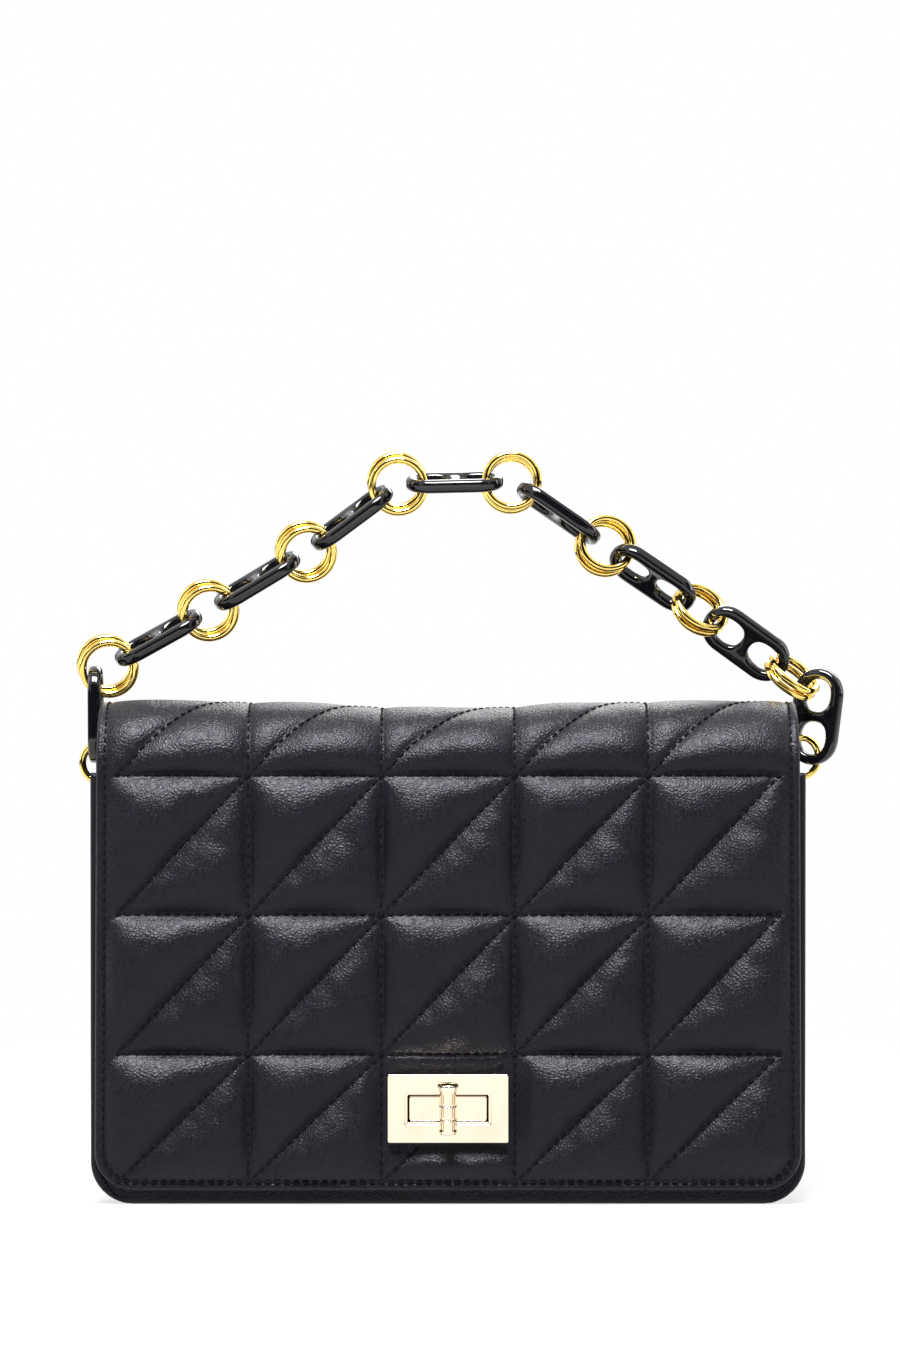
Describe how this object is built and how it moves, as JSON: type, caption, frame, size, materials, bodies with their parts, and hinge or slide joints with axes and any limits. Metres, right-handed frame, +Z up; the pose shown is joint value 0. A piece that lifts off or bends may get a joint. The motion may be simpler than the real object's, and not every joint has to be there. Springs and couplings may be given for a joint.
{
  "type": "quilted handbag",
  "caption": "Small rectangular handbag with a quilted front flap, a turn lock and an arched chain handle of flat links and paired rings.",
  "frame": {"origin": "centre of the base panel's underside, on the surface that the bag stands on", "axes": "+X to the bag's right as seen from the front, -Y towards the quilted front, +Z up"},
  "size_m": [0.2399, 0.0826, 0.2319],
  "materials": {
    "black_leather": "fine-grained black leather, satin",
    "lining_cloth": "matt dark woven lining",
    "black_resin": "polished black resin",
    "gold_plate": "polished gold plate",
    "pale_gold_plate": "polished pale gold plate",
    "grey_board": "plain fibreboard"
  },
  "bodies": {
    "bag": {"front_panel": "black_leather", "back_panel": "black_leather", "gusset_left": "black_leather", "gusset_right": "black_leather", "base_panel": "black_leather", "base_board": "grey_board", "lining": "lining_cloth", "slip_pocket": "lining_cloth", "flap_rear": "black_leather", "ring_keeper_left": "black_leather", "ring_keeper_right": "black_leather", "lock_block": "pale_gold_plate", "lock_clinch_plate": "pale_gold_plate"},
    "flap": {"flap_front": "black_leather", "flap_lining": "lining_cloth", "lock_frame": "pale_gold_plate", "lock_frame_back": "pale_gold_plate"},
    "knob": {"lock_knob": "pale_gold_plate", "lock_washer": "pale_gold_plate"},
    "handle": {"side_ring_left": "gold_plate", "side_ring_right": "gold_plate", "link_1": "black_resin", "link_9": "black_resin", "ring_1_front": "gold_plate", "ring_1_rear": "gold_plate", "ring_2_front": "gold_plate", "ring_2_rear": "gold_plate", "ring_3_front": "gold_plate", "ring_3_rear": "gold_plate", "ring_4_front": "gold_plate", "ring_4_rear": "gold_plate", "ring_5_front": "gold_plate", "ring_5_rear": "gold_plate", "ring_6_front": "gold_plate", "ring_6_rear": "gold_plate", "ring_7_front": "gold_plate", "ring_7_rear": "gold_plate", "ring_8_front": "gold_plate", "ring_8_rear": "gold_plate"},
    "chain_link_2": {"link_2": "black_resin"},
    "chain_link_3": {"link_3": "black_resin"},
    "chain_link_4": {"link_4": "black_resin"},
    "chain_link_5": {"link_5": "black_resin"},
    "chain_link_6": {"link_6": "black_resin"},
    "chain_link_7": {"link_7": "black_resin"},
    "chain_link_8": {"link_8": "black_resin"}
  },
  "joints": [
    {"name": "flap_hinge", "type": "hinge", "parent": "bag", "child": "flap", "pos_m": [0, -0.01, 0.1563], "axis": [-1, 0, 0], "range_deg": [0, 90]},
    {"name": "lock_turn", "type": "hinge", "parent": "bag", "child": "knob", "pos_m": [0, -0.032, 0.0301], "axis": [0, -1, 0], "range_deg": [0, 90]},
    {"name": "handle_swing", "type": "hinge", "parent": "bag", "child": "handle", "pos_m": [0, 0, 0.135], "axis": [-1, 0, 0], "range_deg": [-4, 22]},
    {"name": "link_2_roll", "type": "hinge", "parent": "handle", "child": "chain_link_2", "pos_m": [-0.09069, 0.004, 0.17335], "axis": [0.8746, 0, 0.4848], "range_deg": [-6, 6]},
    {"name": "link_3_roll", "type": "hinge", "parent": "handle", "child": "chain_link_3", "pos_m": [-0.05978, 0.004, 0.1912], "axis": [0.8572, 0, 0.515], "range_deg": [-6, 6]},
    {"name": "link_4_roll", "type": "hinge", "parent": "handle", "child": "chain_link_4", "pos_m": [-0.03013, 0.004, 0.21101], "axis": [0.8039, 0, 0.5948], "range_deg": [-6, 6]},
    {"name": "link_5_roll", "type": "hinge", "parent": "handle", "child": "chain_link_5", "pos_m": [0.00207, 0.004, 0.22203], "axis": [0.9997, 0, 0.0227], "range_deg": [-6, 6]},
    {"name": "link_6_roll", "type": "hinge", "parent": "handle", "child": "chain_link_6", "pos_m": [0.03461, 0.004, 0.2123], "axis": [0.8231, 0, -0.5678], "range_deg": [-6, 6]},
    {"name": "link_7_roll", "type": "hinge", "parent": "handle", "child": "chain_link_7", "pos_m": [0.06408, 0.004, 0.19216], "axis": [0.8281, 0, -0.5606], "range_deg": [-6, 6]},
    {"name": "link_8_roll", "type": "hinge", "parent": "handle", "child": "chain_link_8", "pos_m": [0.0933, 0.004, 0.17166], "axis": [0.809, 0, -0.5878], "range_deg": [-6, 6]}
  ]
}
